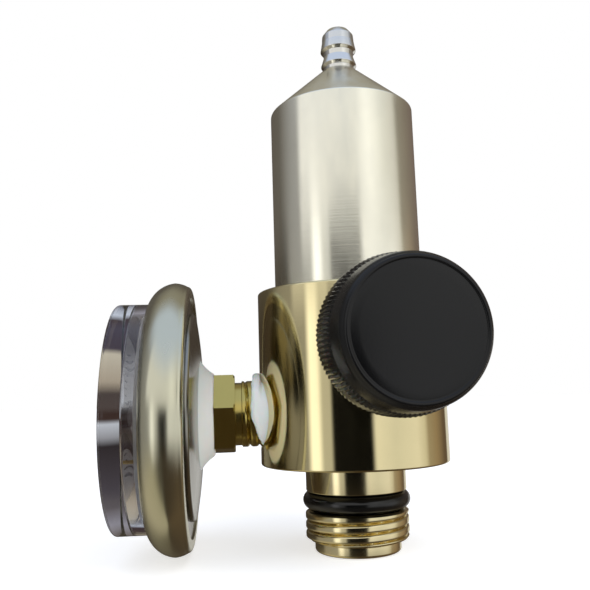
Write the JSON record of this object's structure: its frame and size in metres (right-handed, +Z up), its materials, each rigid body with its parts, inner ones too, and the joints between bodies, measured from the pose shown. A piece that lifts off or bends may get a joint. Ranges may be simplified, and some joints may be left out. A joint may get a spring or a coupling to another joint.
{
  "type": "gas regulator",
  "caption": "Fixed-flow gas regulator with a threaded inlet, side pressure gauge, side on/off valve with a round knob, and a hose barb outlet on top.",
  "frame": {"origin": "on the body axis, at the upper end of the inlet thread", "axes": "+Z up the body axis towards the hose barb; the gauge stands along -X; the on/off valve stands along -Y, turned 4 degrees towards +X"},
  "size_m": [0.0508, 0.055, 0.085],
  "materials": {
    "body_gold": "polished, pale gold",
    "bonnet_brushed": "nickel plated, fine turned lines",
    "brass_machined": "machined",
    "barb_chrome": "bright plated",
    "knob_black": "satin black moulding",
    "seal_rubber": "black",
    "ptfe_tape": "white thread tape",
    "cone_white": "white moulding",
    "case_metal": "pressed, plated",
    "bezel_nickel": "satin nickel",
    "lens_clear": "clear",
    "dial_white": "matt white",
    "pointer_black": "matt black",
    "movement_brass": "stamped",
    "tube_bronze": "drawn",
    "filter_bronze": "sintered",
    "spring_steel": "drawn wire",
    "washer_steel": "stamped",
    "screw_steel": "black oxide",
    "seat_plastic": "natural"
  },
  "bodies": {
    "regulator_body": {"inlet_nipple": "brass_machined", "inlet_o_ring": "seal_rubber", "inlet_filter": "filter_bronze", "filter_retainer": "brass_machined", "lower_body": "body_gold", "pressure_nozzle": "brass_machined", "stem_o_ring": "seal_rubber", "stem_gland_washer": "washer_steel", "regulating_spring": "spring_steel", "bonnet": "bonnet_brushed", "flow_orifice": "washer_steel", "hose_barb": "barb_chrome", "valve_gland_nut": "brass_machined", "valve_stem_o_ring": "seal_rubber", "valve_backup_washer": "seat_plastic", "gauge_socket": "brass_machined", "gauge_restrictor": "brass_machined", "thread_tape": "ptfe_tape", "gauge_cone": "cone_white", "gauge_case": "case_metal", "gauge_bezel": "bezel_nickel", "window_gasket": "seal_rubber", "gauge_window": "lens_clear", "gauge_dial": "dial_white", "dial_screws": "movement_brass", "hairspring": "tube_bronze", "movement_rear_plate": "movement_brass", "movement_front_plate": "movement_brass", "movement_pillars": "movement_brass", "movement_screws": "movement_brass", "bourdon_tube": "tube_bronze", "bourdon_tip": "tube_bronze", "pointer_stop_pin": "movement_brass"},
    "piston": {"piston": "brass_machined", "piston_seat_disc": "seat_plastic", "piston_o_ring": "seal_rubber"},
    "poppet": {"valve_poppet": "brass_machined", "valve_soft_seat": "seat_plastic"},
    "knob": {"knob": "knob_black", "knob_insert": "brass_machined", "knob_set_screw": "screw_steel", "valve_stem": "brass_machined"},
    "pointer": {"gauge_pointer": "pointer_black", "pinion_arbor": "movement_brass"},
    "sector": {"sector_gear": "movement_brass"},
    "link": {"movement_link": "movement_brass"}
  },
  "joints": [
    {"name": "piston_slide", "type": "slide", "parent": "regulator_body", "child": "piston", "axis": [0, 0, -1], "range_m": [0, 0.00075], "stiffness_N_per_m": 9000, "springref_m": -0.0003, "deforming": ["regulating_spring"]},
    {"name": "valve_lift", "type": "slide", "parent": "regulator_body", "child": "poppet", "axis": [0.0698, -0.9976, 0], "range_m": [0, 0.0015]},
    {"name": "knob_turn", "type": "hinge", "parent": "poppet", "child": "knob", "pos_m": [0.00167, -0.02394, 0.0245], "axis": [0.0698, -0.9976, 0], "range_deg": [0, 540]},
    {"name": "pointer_turn", "type": "hinge", "parent": "regulator_body", "child": "pointer", "pos_m": [-0.03, 0, 0.01485], "axis": [1, 0, 0], "range_deg": [0, 270], "stiffness_Nm_per_rad": 0.0002},
    {"name": "sector_turn", "type": "hinge", "parent": "regulator_body", "child": "sector", "pos_m": [-0.0276, -0.00689, 0.00906], "axis": [1, 0, 0], "range_deg": [-34, 0]},
    {"name": "link_turn", "type": "hinge", "parent": "sector", "child": "link", "pos_m": [-0.0283, -0.00989, 0.00906], "axis": [1, 0, 0], "range_deg": [0, 34]}
  ],
  "couplings": [
    {"joint": "knob_turn", "follows": "valve_lift", "rad_per_m": 6283.2},
    {"joint": "sector_turn", "follows": "pointer_turn", "ratio": -0.125},
    {"joint": "link_turn", "follows": "pointer_turn", "ratio": 0.125}
  ]
}
